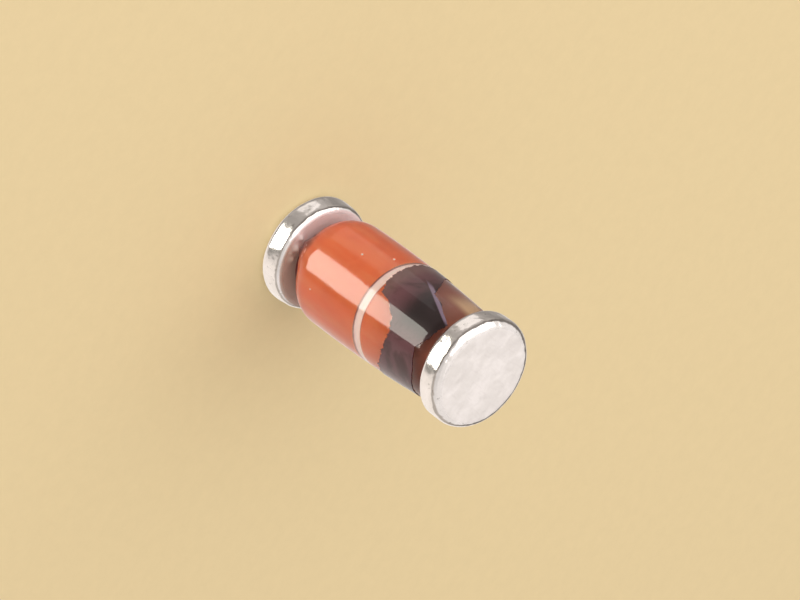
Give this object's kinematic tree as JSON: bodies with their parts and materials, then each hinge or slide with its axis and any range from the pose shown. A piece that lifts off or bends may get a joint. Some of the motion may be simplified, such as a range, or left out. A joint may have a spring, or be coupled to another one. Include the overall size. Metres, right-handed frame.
{
  "type": "leadless glass zener diode",
  "caption": "Small glass-sleeved diode with a tinned metal cap at each end, copper-coloured studs seen through the glass and a dark painted band at the cathode.",
  "frame": {"origin": "centre of the flat anode end face, which the diode stands on", "axes": "+Z along the diode's axis, from the anode cap to the banded cathode cap"},
  "size_m": [0.0016, 0.0014, 0.0035],
  "materials": {
    "tinned_cap": "dipped in tin, bright and slightly lumpy on the rim, dull pale on the end face",
    "copper_stud": "copper cladding with an orange-red oxide under the glass",
    "silver_bump": "plated silver",
    "silicon": "polished grey silicon",
    "braze": "smooth silver braze",
    "clear_glass": "clear melted glass, smooth",
    "band_paint": "dark baked paint with ragged edges"
  },
  "bodies": {
    "root": {"anode_cap": "tinned_cap", "anode_stud": "copper_stud", "anode_bump": "silver_bump", "silicon_die": "silicon", "cathode_braze": "braze", "cathode_stud": "copper_stud", "cathode_cap": "tinned_cap", "glass_sleeve": "clear_glass", "cathode_band": "band_paint"}
  },
  "joints": []
}
